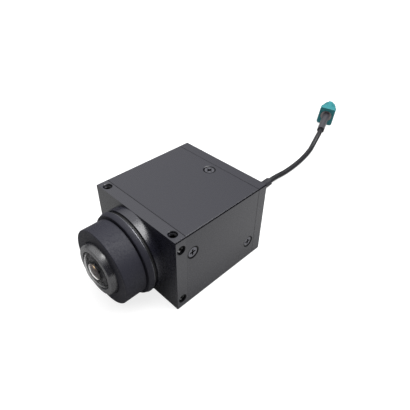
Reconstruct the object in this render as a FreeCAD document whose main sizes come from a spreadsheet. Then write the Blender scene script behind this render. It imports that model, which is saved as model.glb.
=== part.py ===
import FreeCAD, Part
import Sketcher
import math
import os
import re

# A small box camera with a global shutter sensor, a wide lens that focuses on a fine thread,
# and a coaxial lead that ends in a keyed plug. Millimetres, +Z up, lens looking along -Y.
# The origin is the centre of the base face, which is the face that the camera stands on.

os.makedirs("parts", exist_ok=True)
doc = FreeCAD.newDocument("GlobalShutterCamera")
vec = FreeCAD.Vector

# Driving sizes, one spreadsheet row each
SIZES = [
    ("case_width", 40.0, "outer width of the case"),
    ("case_height", 30.0, "outer height of the case"),
    ("case_length", 41.5, "front face to rear face"),
    ("case_bevel", 0.4, "bevel along the four long edges"),
    ("front_thickness", 4.2, "front block, outside the housing"),
    ("rear_thickness", 4.0, "rear plate, outside the housing"),
    ("wall", 2.0, "housing wall"),
    ("spigot_length", 5.6, "frame that enters the housing at each end"),
    ("spigot_wall", 3.6, "thickness of that frame"),
    ("spigot_gap", 0.1, "all round between spigot and housing"),
    ("gasket_width", 0.9, "gasket section across the wall"),
    ("gasket_height", 0.8, "gasket section along the case"),
    ("mount_hole_radius", 1.25, "tapping bore of the M3 mounting holes"),
    ("mount_hole_mouth", 1.65, "radius of their countersunk mouths"),
    ("mount_hole_inset", 2.1, "front face to the line of holes"),
    ("top_hole_spacing", 32.8, "between the two holes on the top"),
    ("top_hole_depth", 2.5, "their depth, short of the side holes"),
    ("side_hole_spacing", 21.9, "between the two holes on the right side"),
    ("side_hole_depth", 4.0, "their depth"),
    ("case_screw_radius", 0.95, "M2 countersunk case screw, shank"),
    ("case_screw_head", 2.1, "radius of its head"),
    ("case_screw_cone", 1.1, "height of its head"),
    ("case_screw_length", 5.0, "overall length"),
    ("case_screw_sink", 0.2, "head top below the wall"),
    ("cross_arm", 1.15, "reach of the cross recess in a head"),
    ("cross_half", 0.3, "half the width of its slots"),
    ("cross_depth", 0.55, "its depth"),
    ("thread_gap", 0.05, "screw shank to its hole, radial"),
    ("front_screw_inset", 2.6, "front block's shoulder to the side screws"),
    ("rear_screw_inset", 3.2, "rear plate's shoulder to the side screws"),
    ("top_screw_inset", 3.5, "rear plate's shoulder to the top and base screws"),
    ("side_screw_rise", 6.9, "side screws above or below mid height"),
    ("lens_rise", 0.2, "lens axis above mid height"),
    ("boss_margin", 0.3, "round lens boss, smaller in radius than half the case's height"),
    ("boss_length", 3.0, "how far it stands out"),
    ("lens_thread", 11.0, "outer radius of the lens's focusing thread"),
    ("running_gap", 0.06, "radial clearance of the turning fits"),
    ("thread_depth", 3.0, "lens thread behind the front face"),
    ("seal_thickness", 0.95, "rubber seal between boss and lock ring"),
    ("seal_radius", 13.9, "its outer radius"),
    ("seal_bore_gap", 0.3, "its bore clear of the thread"),
    ("ring_radius", 14.7, "lock ring"),
    ("ring_thickness", 2.1, "lock ring along the axis"),
    ("ring_round", 0.7, "rounding of its front rim"),
    ("ring_back_bevel", 0.25, "bevel of its back rim"),
    ("hood_gap", 0.4, "lock ring to the back of the hood"),
    ("hood_radius", 13.2, "hood of the outer barrel"),
    ("hood_length", 7.4, "hood along the axis"),
    ("hood_round", 0.35, "rounding of its front rim"),
    ("recess_radius", 9.25, "recess round the bezel in the hood's face"),
    ("recess_depth", 3.6, "depth of that recess"),
    ("cell_radius", 8.0, "inner barrel, which carries the glass"),
    ("seat_gap", 0.05, "axial play of the captive inner barrel"),
    ("collar_length", 2.3, "collar of the inner barrel behind the bezel"),
    ("bezel_radius", 8.6, "bezel ring that clamps the front glass"),
    ("bezel_length", 3.3, "bezel ring along the axis"),
    ("bezel_bevel", 0.2, "bevel of its front rim"),
    ("bezel_aperture", 6.7, "opening of the bezel's lip"),
    ("tail_length", 4.2, "inner barrel behind the front face"),
    ("retainer_radius", 10.2, "ring that keeps the inner barrel in"),
    ("retainer_thickness", 0.85, "that ring along the axis"),
    ("glass_edge", 7.7, "edge radius of the front glass"),
    ("glass_gap", 0.05, "glass to metal"),
    ("dome_radius", 10.0, "front surface of the front glass"),
    ("dome_rise", 2.1, "its top above the bezel's face"),
    ("bowl_radius", 6.5, "hollow back of the front glass"),
    ("bowl_edge", 5.0, "rim of that hollow"),
    ("second_edge", 5.4, "edge radius of the second element"),
    ("second_thickness", 1.8, "its edge thickness"),
    ("second_front_radius", 9.0, "its front surface"),
    ("second_bowl_radius", 4.6, "its hollow back"),
    ("second_bowl_edge", 3.7, "rim of that hollow"),
    ("second_depth", 3.8, "its seat behind the front glass"),
    ("spacer_wall", 0.6, "wall of the rings between the elements"),
    ("group_edge", 4.3, "edge radius of the rear elements"),
    ("group_bore_gap", 0.1, "rear elements to their bore"),
    ("middle_thickness", 2.4, "middle element at its edge"),
    ("stop_thickness", 0.4, "aperture plate"),
    ("stop_aperture", 1.4, "its opening"),
    ("rear_element_thickness", 2.6, "rear element at its edge"),
    ("rear_element_radius", 7.5, "rear element's surfaces"),
    ("rear_standoff", 1.8, "its edge in front of the filter"),
    ("filter_thickness", 0.5, "infrared cut filter"),
    ("tail_lip", 0.5, "lip that holds the filter"),
    ("tail_lip_radius", 3.6, "opening of that lip"),
    ("board_margin", 0.3, "board edge inside the housing wall"),
    ("board_thickness", 1.0, "both circuit boards"),
    ("board_hole_inset_x", 2.3, "board screw holes from the board's side edges"),
    ("board_hole_inset_z", 2.2, "and from its top and bottom edges"),
    ("board_hole_radius", 1.1, "clearance holes in the boards"),
    ("stud_length", 4.0, "standoff's stud in the front block"),
    ("standoff_radius", 2.0, "round standoffs between the boards"),
    ("lead_bay", 15.7, "second board's back to the rear plate's shoulder"),
    ("board_screw_head", 1.9, "pan head radius"),
    ("board_screw_head_height", 1.2, "pan head height"),
    ("board_screw_length", 3.5, "length under the head, through the board"),
    ("sensor_width", 12.0, "image sensor package across"),
    ("sensor_height", 11.0, "image sensor package up"),
    ("sensor_thickness", 1.6, "package on its board"),
    ("window_width", 9.5, "cover glass across"),
    ("window_height", 8.0, "cover glass up"),
    ("window_thickness", 0.6, "cover glass"),
    ("header_width", 16.0, "board to board connector across"),
    ("header_height", 4.0, "board to board connector up"),
    ("header_drop", 7.5, "connector below mid height"),
    ("header_wall", 0.8, "shroud of the socket half"),
    ("chip_side", 8.0, "serialiser chip, square"),
    ("chip_thickness", 0.9, "serialiser chip on its board"),
    ("chip_offset", 9.2, "chip and pedestal to the left of the lead"),
    ("pad_thickness", 1.0, "heat pad between chip and pedestal"),
    ("pedestal_side", 9.0, "heat pedestal of the rear plate, square"),
    ("coil_side", 4.0, "power inductor, square"),
    ("coil_height", 2.0, "power inductor on its board"),
    ("coil_offset", 10.0, "inductor to the right of the lead"),
    ("exit_height", 15.0, "lead's axis above the base at the rear plate"),
    ("lead_radius", 1.25, "coaxial cable"),
    ("sleeve_radius", 1.9, "heat-shrink sleeve on the first stretch"),
    ("grommet_hole", 2.75, "hole in the rear plate"),
    ("grommet_flange", 3.9, "flange of the grommet inside the plate"),
    ("grommet_flange_length", 1.4, "that flange along the lead"),
    ("grommet_collar", 3.6, "collar outside the plate"),
    ("grommet_collar_length", 1.2, "that collar along the lead"),
    ("grommet_root", 2.6, "radius of the taper at the collar"),
    ("grommet_tip", 2.1, "radius of the grommet's end"),
    ("grommet_length", 5.0, "grommet outside the plate"),
    ("grip_gap", 0.02, "cable to the rubber round it"),
    ("socket_base", 5.6, "coaxial socket's square foot"),
    ("socket_foot", 1.2, "thickness of that foot"),
    ("socket_radius", 1.9, "coaxial socket's barrel"),
    ("socket_bore", 1.4, "its bore"),
    ("socket_length", 3.6, "from the board"),
    ("plug_radius", 2.5, "coaxial plug's cap"),
    ("plug_gap", 0.05, "cap over the socket, radial"),
    ("plug_cap", 2.6, "length of the cap over the socket"),
    ("plug_neck", 1.8, "crimp neck of the plug"),
    ("plug_body", 2.0, "solid part of the plug"),
    ("plug_neck_length", 3.0, "crimp neck along the cable"),
    ("boot_radius", 1.9, "heat-shrink boot behind the connector"),
    ("boot_length", 18.6, "boot along the lead"),
    ("boot_heading", 22.5, "degrees from +Y towards -X"),
    ("connector_roll", 5.0, "degrees that the connector leans to its right"),
    ("connector_width", 8.8, "connector's collar across"),
    ("connector_height", 10.0, "connector's collar up"),
    ("connector_bevel", 0.8, "bevel along the collar's edges"),
    ("collar_depth", 4.4, "collar along the connector"),
    ("nose_radius", 3.9, "round nose"),
    ("nose_length", 9.0, "nose in front of the collar"),
    ("nose_bore", 3.15, "bore of the nose"),
    ("web_thickness", 1.0, "wall between the two bores"),
    ("catch_width", 2.2, "locking catch on top of the nose"),
    ("catch_length", 7.0, "flat of that catch"),
    ("catch_ramp", 1.4, "sloping front end of the catch"),
    ("catch_foot", 0.2, "foot of that slope below the top of the nose"),
    ("key_width", 1.2, "side keys of the nose"),
    ("key_rise", 0.5, "how far they stand out"),
    ("ferrule_radius", 3.2, "crimp ferrule in the back of the connector"),
    ("ferrule_recess", 0.5, "its end below the back face"),
    ("ferrule_neck", 2.6, "its waist"),
    ("ferrule_rim", 1.0, "its rim along the axis"),
    ("ferrule_fit", 0.05, "ferrule to the bore, radial"),
    ("shell_radius", 2.3, "outer contact of the connector"),
    ("shell_wall", 0.4, "its wall"),
    ("shell_length", 8.0, "its length"),
    ("insulator_length", 5.5, "insulator in the outer contact"),
    ("pin_radius", 0.45, "centre contact"),
    ("pin_length", 7.2, "centre contact from the ferrule"),
]

sheet = doc.addObject("Spreadsheet::Sheet", "sizes")
for row, (alias, value, note) in enumerate(SIZES, 1):
    sheet.set(f"A{row}", alias)
    sheet.set(f"B{row}", str(value))
    sheet.set(f"C{row}", note)
    sheet.setAlias(f"B{row}", alias)
doc.recompute()
ALIASES = {alias for alias, value, note in SIZES}

# Stations along the case, as expressions of the sizes
FRONT = "(-case_length / 2)"
REAR = "(case_length / 2)"
MID = "(case_height / 2)"
FRONT_SHOULDER = f"({FRONT} + front_thickness)"
REAR_SHOULDER = f"({REAR} - rear_thickness)"
INNER_X = "(case_width / 2 - wall)"
INNER_Z = "(case_height / 2 - wall)"
SPIGOT_X = f"({INNER_X} - spigot_gap)"
SPIGOT_Z = f"({INNER_Z} - spigot_gap)"
BOARD_X = f"({INNER_X} - board_margin)"
BOARD_Z = f"({INNER_Z} - board_margin)"
HOLE_X = f"({BOARD_X} - board_hole_inset_x)"
HOLE_Z = f"({BOARD_Z} - board_hole_inset_z)"
SENSOR_BOARD = f"({FRONT_SHOULDER} + spigot_length)"
LINK_BACK = f"({REAR_SHOULDER} - lead_bay)"
LINK_BOARD = f"({LINK_BACK} - board_thickness)"
STANDOFF = f"({LINK_BOARD} - board_thickness - {SENSOR_BOARD})"
FRONT_SCREWS = f"({FRONT_SHOULDER} + front_screw_inset)"
REAR_SCREWS = f"({REAR_SHOULDER} - rear_screw_inset)"
TOP_SCREWS = f"({REAR_SHOULDER} - top_screw_inset)"
SCREW_HOLE = "(case_screw_radius + thread_gap)"

# Lens axis and the boss round it, then stations along the axis, counted forward from the front face
LENS_HEIGHT = "(case_height / 2 + lens_rise)"
BOSS_RADIUS = "(case_height / 2 - boss_margin)"
RING_BACK = "(boss_length + seal_thickness)"
RING_FRONT = f"({RING_BACK} + ring_thickness)"
HOOD_BACK = f"({RING_FRONT} + hood_gap)"
HOOD_FRONT = f"({HOOD_BACK} + hood_length)"
RECESS_FLOOR = f"({HOOD_FRONT} - recess_depth)"
CELL_SHELF = f"({RECESS_FLOOR} + seat_gap + collar_length)"
BEZEL_FRONT = f"({CELL_SHELF} + bezel_length)"
DOME_TOP = f"({BEZEL_FRONT} + dome_rise)"
DOME_CENTRE = f"({DOME_TOP} - dome_radius)"
SECOND_SEAT = f"({CELL_SHELF} - second_depth)"
GROUP_BORE = "(group_edge + group_bore_gap)"
FILTER_BACK = "(tail_lip - tail_length)"
FILTER_FRONT = f"({FILTER_BACK} + filter_thickness)"
MIDDLE_FRONT = f"({SECOND_SEAT} - seat_gap)"
MIDDLE_BACK = f"({MIDDLE_FRONT} - middle_thickness)"
REAR_BACK = f"({FILTER_FRONT} + rear_standoff)"
REAR_FRONT = f"({REAR_BACK} + rear_element_thickness)"
SPACER_BORE = "(group_edge - spacer_wall)"


def ex(text):
    """The expression with each size's name led back to its cell."""
    return re.sub(r"[a-z][a-z_]+", lambda m: f"sizes.{m[0]}" if m[0] in ALIASES else m[0], text)


def number(text):
    return float(sheet.evalExpression(ex(text)))


def bind(item, **sizes):
    for name, text in sizes.items():
        item.setExpression(name, ex(text))


def seat(item, x="0", y="0", z="0", turn=None):
    """Places an item at a point given by sizes, turned by a fixed rotation."""
    item.Placement = FreeCAD.Placement(vec(number(x), number(y), number(z)), turn or FreeCAD.Rotation())
    for axis, text in (("x", x), ("y", y), ("z", z)):
        if text != "0":
            item.setExpression(f"Placement.Base.{axis}", ex(text))


# Turns for bodies made along their own Z: forward out of the lens, back along the lead
FORWARD = FreeCAD.Rotation(vec(1, 0, 0), 90)
BACKWARD = FreeCAD.Rotation(vec(-1, 0, 0), vec(0, 0, 1), vec(0, 1, 0))
SIDEWAYS = {
    "+x": FreeCAD.Rotation(vec(0, 0, 1), vec(1, 0, 0)),
    "-x": FreeCAD.Rotation(vec(0, 0, 1), vec(-1, 0, 0)),
    "+y": FreeCAD.Rotation(vec(0, 0, 1), vec(0, 1, 0)),
    "-y": FreeCAD.Rotation(vec(0, 0, 1), vec(0, -1, 0)),
    "+z": FreeCAD.Rotation(),
    "-z": FreeCAD.Rotation(vec(1, 0, 0), 180),
}


def new_body(label, x="0", y="0", z="0", turn=None):
    body = doc.addObject("PartDesign::Body", label)
    body.Label = label
    seat(body, x, y, z, turn)
    return body


def new_sketch(body, plane, name, lift="0"):
    sketch = body.newObject("Sketcher::SketchObject", f"{body.Name}_{name}")
    flat = [item for item in body.Origin.OriginFeatures if item.Role == plane][0]
    sketch.AttachmentSupport = [(flat, "")]
    sketch.MapMode = "FlatFace"
    if lift != "0":
        sketch.setExpression("AttachmentOffset.Base.z", ex(lift))
    return sketch


def pin_down(sketch, geometry, point, x, y):
    """Fixes a sketch point by its two distances from the origin."""
    for kind, text, line in (("DistanceX", x, -2), ("DistanceY", y, -1)):
        if text == "0":
            sketch.addConstraint(Sketcher.Constraint("PointOnObject", geometry, point, line))
        else:
            limit = Sketcher.Constraint(kind, -1, 1, geometry, point, number(text))
            index = sketch.addConstraint(limit)
            sketch.setExpression(f"Constraints[{index}]", ex(text))


def outline(sketch, corners):
    """A closed outline through corners given as pairs of size expressions.

    A corner with a third entry bulges on the way to the next one: it is a point of an arc.
    """
    spots = [vec(number(corner[0]), number(corner[1]), 0) for corner in corners]
    first = sketch.GeometryCount
    for index, corner in enumerate(corners):
        start = spots[index]
        end = spots[(index + 1) % len(spots)]
        if len(corner) == 3:
            middle = vec(number(corner[2][0]), number(corner[2][1]), 0)
            anticlockwise = (middle - start).cross(end - middle).z > 0
            way = (start, middle, end) if anticlockwise else (end, middle, start)
            sketch.addGeometry(Part.Arc(*way))
        else:
            sketch.addGeometry(Part.LineSegment(start, end))
    ends = []
    for index in range(len(corners)):
        shape = sketch.Geometry[first + index]
        forward = shape.StartPoint.distanceToPoint(spots[index]) < 1e-6
        ends.append((1, 2) if forward else (2, 1))
    for index, corner in enumerate(corners):
        nearby = (index + 1) % len(corners)
        sketch.addConstraint(Sketcher.Constraint(
            "Coincident", first + index, ends[index][1], first + nearby, ends[nearby][0]))
        pin_down(sketch, first + index, ends[index][0], corner[0], corner[1])
        if len(corner) == 3:
            reach = Sketcher.Constraint("Radius", first + index, sketch.Geometry[first + index].Radius)
            limit = sketch.addConstraint(reach)
            sketch.setExpression(f"Constraints[{limit}]", ex(corner[2][2]))


def rectangle(sketch, half_x, low_y, high_y, middle_x="0"):
    left = f"{middle_x} - ({half_x})"
    right = f"{middle_x} + ({half_x})"
    outline(sketch, [(left, low_y), (right, low_y), (right, high_y), (left, high_y)])


def bevelled(sketch, half_x, low_y, high_y, cut):
    """A rectangle about the sketch's vertical axis with its corners cut off."""
    outline(sketch, [
        (f"{cut} - ({half_x})", low_y), (f"{half_x} - {cut}", low_y),
        (half_x, f"{low_y} + {cut}"), (half_x, f"{high_y} - {cut}"),
        (f"{half_x} - {cut}", high_y), (f"{cut} - ({half_x})", high_y),
        (f"-({half_x})", f"{high_y} - {cut}"), (f"-({half_x})", f"{low_y} + {cut}"),
    ])


def circle(sketch, x, y, radius):
    middle = vec(number(x), number(y), 0)
    index = sketch.addGeometry(Part.Circle(middle, vec(0, 0, 1), number(radius)))
    pin_down(sketch, index, 3, x, y)
    limit = sketch.addConstraint(Sketcher.Constraint("Radius", index, number(radius)))
    sketch.setExpression(f"Constraints[{limit}]", ex(radius))


def pad(body, sketch, length, backward=False):
    item = body.newObject("PartDesign::Pad", f"{sketch.Name}_pad")
    item.Profile = sketch
    item.Reversed = backward
    bind(item, Length=length)
    doc.recompute()
    return item


def pocket(body, sketch, length, backward=False):
    """Cuts the sketch away, and stops if nothing came off."""
    before = body.Shape.Volume
    item = body.newObject("PartDesign::Pocket", f"{sketch.Name}_pocket")
    item.Profile = sketch
    item.Reversed = backward
    bind(item, Length=length)
    doc.recompute()
    if body.Shape.Volume > before - 1e-4:
        raise ValueError(f"{item.Name} removes nothing")
    return item


def revolve(body, sketch):
    item = body.newObject("PartDesign::Revolution", f"{sketch.Name}_turned")
    item.Profile = sketch
    item.ReferenceAxis = (sketch, ["V_Axis"])
    item.Angle = 360
    doc.recompute()
    return item


def turned(label, corners, x="0", y="0", z="0", turn=FORWARD):
    """A piece turned on a lathe: the corners are (radius, station along the axis)."""
    body = new_body(label, x, y, z, turn)
    sketch = new_sketch(body, "XZ_Plane", "section")
    outline(sketch, corners)
    revolve(body, sketch)
    return body


def bore(body, name, point, way, radius, depth):
    """A round hole from a point, along the named row axis."""
    before = body.Shape.Volume
    item = body.newObject("PartDesign::SubtractiveCylinder", f"{body.Name}_{name}")
    seat(item, *point, turn=SIDEWAYS[way])
    bind(item, Radius=radius, Height=depth)
    doc.recompute()
    if body.Shape.Volume > before - 1e-4:
        raise ValueError(f"{item.Name} removes nothing")
    return item


def countersink(body, name, point, way, mouth, radius, depth):
    """A conical mouth from a point, along the named row axis."""
    before = body.Shape.Volume
    item = body.newObject("PartDesign::SubtractiveCone", f"{body.Name}_{name}")
    seat(item, *point, turn=SIDEWAYS[way])
    bind(item, Radius1=mouth, Radius2=radius, Height=depth)
    doc.recompute()
    if body.Shape.Volume > before - 1e-4:
        raise ValueError(f"{item.Name} removes nothing")
    return item


def block(label, half_x, low_y, high_y, low_z, high_z, middle_x="0"):
    """A plain rectangular piece, as extents of the row's axes."""
    item = doc.addObject("Part::Box", label)
    item.Label = label
    bind(item, Length=f"2 * ({half_x})", Width=f"({high_y}) - ({low_y})", Height=f"({high_z}) - ({low_z})")
    seat(item, f"{middle_x} - ({half_x})", low_y, low_z)
    return item


# The six case screws: name, head's middle on the wall, the way it is driven
CASE_SCREWS = [
    ("case_screw_right_front", ("case_width / 2", FRONT_SCREWS, f"{MID} + side_screw_rise"), "-x"),
    ("case_screw_right_rear", ("case_width / 2", REAR_SCREWS, f"{MID} - side_screw_rise"), "-x"),
    ("case_screw_left_front", ("-case_width / 2", FRONT_SCREWS, f"{MID} - side_screw_rise"), "+x"),
    ("case_screw_left_rear", ("-case_width / 2", REAR_SCREWS, f"{MID} + side_screw_rise"), "+x"),
    ("case_screw_top", ("0", TOP_SCREWS, "case_height"), "-z"),
    ("case_screw_base", ("0", TOP_SCREWS, "0"), "+z"),
]
STEP = {
    "-x": ("{0} - ({3})", "{1}", "{2}"),
    "+x": ("{0} + ({3})", "{1}", "{2}"),
    "-z": ("{0}", "{1}", "{2} - ({3})"),
    "+z": ("{0}", "{1}", "{2} + ({3})"),
}


def along(point, way, distance):
    """The point moved by a distance along the way."""
    moved = tuple(part.format(*point, distance) for part in STEP[way])
    return tuple(before if before == "0" and after == "0" else after for before, after in zip(point, moved))


def spigot_holes(body, end):
    """Blind holes for the case screws that enter one end's spigot."""
    for name, point, way in CASE_SCREWS:
        if (point[1] == FRONT_SCREWS) == (end == "front"):
            start = along(point, way, "wall - spigot_gap")
            bore(body, f"{name}_hole", start, way, SCREW_HOLE, "case_screw_length - wall + 2 * spigot_gap")


def spigot(body, station, backward):
    """The frame that enters the housing, with a narrower neck for the gasket."""
    neck_x = f"({INNER_X} - gasket_width)"
    neck_z = f"({INNER_Z} - gasket_width)"
    neck = new_sketch(body, "XZ_Plane", "neck", f"-({station})")
    rectangle(neck, neck_x, f"{MID} - {neck_z}", f"{MID} + {neck_z}")
    rectangle(neck, f"{SPIGOT_X} - spigot_wall", f"{MID} - {SPIGOT_Z} + spigot_wall",
              f"{MID} + {SPIGOT_Z} - spigot_wall")
    pad(body, neck, "spigot_length", backward)
    step = f"{station} + gasket_height" if backward else f"{station} - gasket_height"
    frame = new_sketch(body, "XZ_Plane", "frame", f"-({step})")
    rectangle(frame, SPIGOT_X, f"{MID} - {SPIGOT_Z}", f"{MID} + {SPIGOT_Z}")
    rectangle(frame, f"{SPIGOT_X} - spigot_wall", f"{MID} - {SPIGOT_Z} + spigot_wall",
              f"{MID} + {SPIGOT_Z} - spigot_wall")
    pad(body, frame, "spigot_length - gasket_height", backward)


def make_front_block():
    """Front plate, lens boss and spigot, milled as one piece."""
    body = new_body("front_block")
    plate = new_sketch(body, "XZ_Plane", "plate", f"-({FRONT})")
    bevelled(plate, "case_width / 2", "0", "case_height", "case_bevel")
    pad(body, plate, "front_thickness", True)
    boss = new_sketch(body, "XZ_Plane", "boss", f"-({FRONT})")
    circle(boss, "0", LENS_HEIGHT, BOSS_RADIUS)
    pad(body, boss, "boss_length")
    spigot(body, FRONT_SHOULDER, True)
    bore(body, "lens_bore", ("0", f"{FRONT} - boss_length", LENS_HEIGHT), "+y",
         "lens_thread + running_gap", "boss_length + front_thickness")
    line = f"{FRONT} + mount_hole_inset"
    for side, x in (("left", "-top_hole_spacing / 2"), ("right", "top_hole_spacing / 2")):
        mount_hole(body, f"top_{side}", (x, line, "case_height"), "-z", "top_hole_depth")
    for level, z in (("low", f"{MID} - side_hole_spacing / 2"), ("high", f"{MID} + side_hole_spacing / 2")):
        mount_hole(body, f"right_{level}", ("case_width / 2", line, z), "-x", "side_hole_depth")
    for index, (x, z) in enumerate(board_holes(), 1):
        bore(body, f"stud_hole_{index}", (x, SENSOR_BOARD, z), "-y",
             SCREW_HOLE, "stud_length + spigot_gap")
    spigot_holes(body, "front")
    return body


def mount_hole(body, name, point, way, depth):
    """An M3 mounting hole with its countersunk mouth."""
    bore(body, f"{name}_hole", point, way, "mount_hole_radius", depth)
    countersink(body, f"{name}_mouth", point, way, "mount_hole_mouth", "mount_hole_radius",
                "mount_hole_mouth - mount_hole_radius")


def board_holes():
    """The four board screw positions, as x and z."""
    return [(f"{sx}{HOLE_X}", f"{MID} {sz} {HOLE_Z}") for sx in ("-", "") for sz in ("-", "+")]


def make_housing():
    """The drawn rectangular tube between the two end pieces."""
    body = new_body("housing")
    tube = new_sketch(body, "XZ_Plane", "tube", f"-({FRONT_SHOULDER})")
    bevelled(tube, "case_width / 2", "0", "case_height", "case_bevel")
    rectangle(tube, INNER_X, f"{MID} - {INNER_Z}", f"{MID} + {INNER_Z}")
    pad(body, tube, "case_length - front_thickness - rear_thickness", True)
    for name, point, way in CASE_SCREWS:
        bore(body, f"{name}_hole", point, way, SCREW_HOLE, "wall")
        countersink(body, f"{name}_seat", point, way, "case_screw_head + thread_gap + case_screw_sink",
                    SCREW_HOLE, "case_screw_cone + case_screw_sink")
    return body


def make_rear_plate():
    """Rear plate with its spigot, the lead's hole and the heat pedestal."""
    body = new_body("rear_plate")
    plate = new_sketch(body, "XZ_Plane", "plate", f"-({REAR_SHOULDER})")
    bevelled(plate, "case_width / 2", "0", "case_height", "case_bevel")
    pad(body, plate, "rear_thickness", True)
    spigot(body, REAR_SHOULDER, False)
    pedestal = new_sketch(body, "XZ_Plane", "pedestal", f"-({REAR_SHOULDER})")
    rectangle(pedestal, "pedestal_side / 2", f"{MID} - pedestal_side / 2",
              f"{MID} + pedestal_side / 2", "-chip_offset")
    pad(body, pedestal, f"{REAR_SHOULDER} - ({LINK_BACK} + chip_thickness + pad_thickness)")
    bore(body, "lead_hole", ("0", REAR_SHOULDER, "exit_height"), "+y", "grommet_hole", "rear_thickness")
    spigot_holes(body, "rear")
    return body


def make_gasket(label, station, backward):
    body = new_body(label)
    ring = new_sketch(body, "XZ_Plane", "ring", f"-({station})")
    neck_x = f"({INNER_X} - gasket_width)"
    neck_z = f"({INNER_Z} - gasket_width)"
    rectangle(ring, INNER_X, f"{MID} - {INNER_Z}", f"{MID} + {INNER_Z}")
    rectangle(ring, neck_x, f"{MID} - {neck_z}", f"{MID} + {neck_z}")
    pad(body, ring, "gasket_height", backward)
    return body


def make_case_screw(name, point, way):
    """Countersunk screw with a cross recess, made along its own -Z and then turned."""
    body = new_body(name, *along(point, way, "case_screw_sink"), turn=SIDEWAYS[way])
    section = new_sketch(body, "XZ_Plane", "section")
    outline(section, [
        ("0", "0"), ("case_screw_head", "0"), ("case_screw_radius", "case_screw_cone"),
        ("case_screw_radius", "case_screw_length - case_screw_sink"),
        ("0", "case_screw_length - case_screw_sink"),
    ])
    revolve(body, section)
    arm = "cross_arm"
    half = "cross_half"
    cross = new_sketch(body, "XY_Plane", "cross")
    outline(cross, [
        (half, half), (half, arm), (f"-{half}", arm), (f"-{half}", half),
        (f"-{arm}", half), (f"-{arm}", f"-{half}"), (f"-{half}", f"-{half}"), (f"-{half}", f"-{arm}"),
        (half, f"-{arm}"), (half, f"-{half}"), (arm, f"-{half}"), (arm, half),
    ])
    pocket(body, cross, "cross_depth", True)
    return body


LENS = ("0", FRONT, LENS_HEIGHT)


def dome_at(radius):
    """Height of the front glass's outer surface at a radius."""
    return f"({DOME_CENTRE} + sqrt(dome_radius ^ 2 - ({radius}) ^ 2))"


def sphere_middle(centre, sphere, radius, sign="+"):
    """A point half way out along a lens surface, and its radius, for an arc in a section."""
    return (radius, f"{centre} {sign} sqrt({sphere} ^ 2 - ({radius}) ^ 2)", sphere)


def make_lens_seal():
    hole = "(lens_thread + seal_bore_gap)"
    return turned("lens_seal", [
        (hole, "boss_length"), ("seal_radius", "boss_length"), ("seal_radius", RING_BACK), (hole, RING_BACK),
    ], *LENS)


def make_lock_ring():
    """The ring that jams the focusing thread, with a rounded front rim."""
    hole = "(lens_thread + running_gap)"
    mid_r = "(ring_radius - ring_round + ring_round * sqrt(0.5))"
    mid_s = f"({RING_FRONT} - ring_round + ring_round * sqrt(0.5))"
    return turned("lock_ring", [
        (hole, RING_BACK), ("ring_radius - ring_back_bevel", RING_BACK),
        ("ring_radius", f"{RING_BACK} + ring_back_bevel"),
        ("ring_radius", f"{RING_FRONT} - ring_round", (mid_r, mid_s, "ring_round")),
        ("ring_radius - ring_round", RING_FRONT), (hole, RING_FRONT),
    ], *LENS)


def make_outer_barrel():
    """Focusing barrel: a threaded tail behind and the hood in front."""
    hole = "(cell_radius + running_gap)"
    mid_r = "(hood_radius - hood_round + hood_round * sqrt(0.5))"
    mid_s = f"({HOOD_FRONT} - hood_round + hood_round * sqrt(0.5))"
    return turned("focus_barrel", [
        (hole, "-thread_depth"), ("lens_thread", "-thread_depth"), ("lens_thread", HOOD_BACK),
        ("hood_radius", HOOD_BACK),
        ("hood_radius", f"{HOOD_FRONT} - hood_round", (mid_r, mid_s, "hood_round")),
        ("hood_radius - hood_round", HOOD_FRONT), ("recess_radius", HOOD_FRONT),
        ("recess_radius", RECESS_FLOOR), (hole, RECESS_FLOOR),
    ], *LENS)


def make_inner_barrel():
    """Tube that carries the glass, with a collar in front and a lip behind."""
    shelf = "(second_edge + glass_gap)"
    return turned("inner_barrel", [
        ("tail_lip_radius", "-tail_length"), ("cell_radius", "-tail_length"),
        ("cell_radius", f"{RECESS_FLOOR} + seat_gap"), ("bezel_radius", f"{RECESS_FLOOR} + seat_gap"),
        ("bezel_radius", CELL_SHELF), (shelf, CELL_SHELF), (shelf, SECOND_SEAT),
        (GROUP_BORE, SECOND_SEAT), (GROUP_BORE, FILTER_BACK), ("tail_lip_radius", FILTER_BACK),
    ], *LENS)


def make_retainer():
    front = "(-thread_depth - seat_gap)"
    hole = "(cell_radius + grip_gap)"
    return turned("cell_retainer", [
        (hole, front), (hole, f"{front} - retainer_thickness"),
        ("retainer_radius", f"{front} - retainer_thickness"), ("retainer_radius", front),
    ], *LENS)


def make_bezel():
    """Bezel ring whose lip follows the dome and clamps the front glass."""
    pocket_r = "(glass_edge + glass_gap)"
    lip = f"({dome_at('bezel_aperture')} + 2 * glass_gap)"
    return turned("bezel_ring", [
        (pocket_r, CELL_SHELF), ("bezel_radius", CELL_SHELF),
        ("bezel_radius", f"{BEZEL_FRONT} - bezel_bevel"), ("bezel_radius - bezel_bevel", BEZEL_FRONT),
        ("bezel_aperture", BEZEL_FRONT), ("bezel_aperture", lip),
        (pocket_r, f"{dome_at('glass_edge')} + 2 * glass_gap"),
    ], *LENS)


def make_front_glass():
    """Domed meniscus, the outermost element."""
    edge_top = dome_at("glass_edge")
    bowl_centre = f"({CELL_SHELF} - sqrt(bowl_radius ^ 2 - bowl_edge ^ 2))"
    bowl_top = f"({bowl_centre} + bowl_radius)"
    return turned("front_glass", [
        ("bowl_edge", CELL_SHELF), ("glass_edge", CELL_SHELF),
        ("glass_edge", edge_top, sphere_middle(DOME_CENTRE, "dome_radius", "glass_edge / 2")),
        ("0", DOME_TOP),
        ("0", bowl_top, sphere_middle(bowl_centre, "bowl_radius", "bowl_edge / 2")),
    ], *LENS)


SECOND_CENTRE = f"({SECOND_SEAT} + second_thickness - sqrt(second_front_radius ^ 2 - second_edge ^ 2))"


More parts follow.
